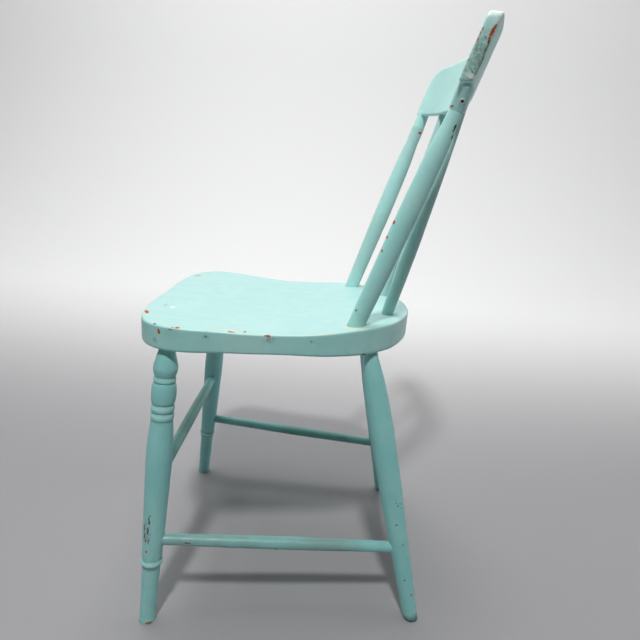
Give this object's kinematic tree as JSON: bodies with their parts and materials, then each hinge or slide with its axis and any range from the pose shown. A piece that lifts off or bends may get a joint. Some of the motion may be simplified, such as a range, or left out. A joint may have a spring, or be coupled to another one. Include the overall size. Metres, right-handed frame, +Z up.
{
  "type": "wooden side chair",
  "caption": "Painted plank-bottom kitchen side chair with splayed turned legs, round stretchers, back posts, spindles and a bent crest rail, its paint chipped and worn.",
  "frame": {"origin": "middle of the chair's bounding box, on the floor that the feet stand on", "axes": "+Z up, -Y towards the front of the seat, +X towards the sitter's left"},
  "size_m": [0.396, 0.4292, 0.799],
  "materials": {
    "seat_paint": "worn satin aqua paint over wood",
    "frame_paint": "chipped satin aqua paint over a red-brown coat and wood",
    "nail_steel": "rusty dark steel"
  },
  "bodies": {
    "root": {"seat": "seat_paint", "leg_front_left": "frame_paint", "leg_front_right": "frame_paint", "leg_back_left": "frame_paint", "leg_back_right": "frame_paint", "stretcher_left": "frame_paint", "stretcher_right": "frame_paint", "stretcher_front": "frame_paint", "stretcher_back": "frame_paint", "post_left": "frame_paint", "post_right": "frame_paint", "spindle_left": "frame_paint", "spindle_right": "frame_paint", "crest_rail": "frame_paint", "nail_left": "nail_steel", "nail_right": "nail_steel"}
  },
  "joints": []
}
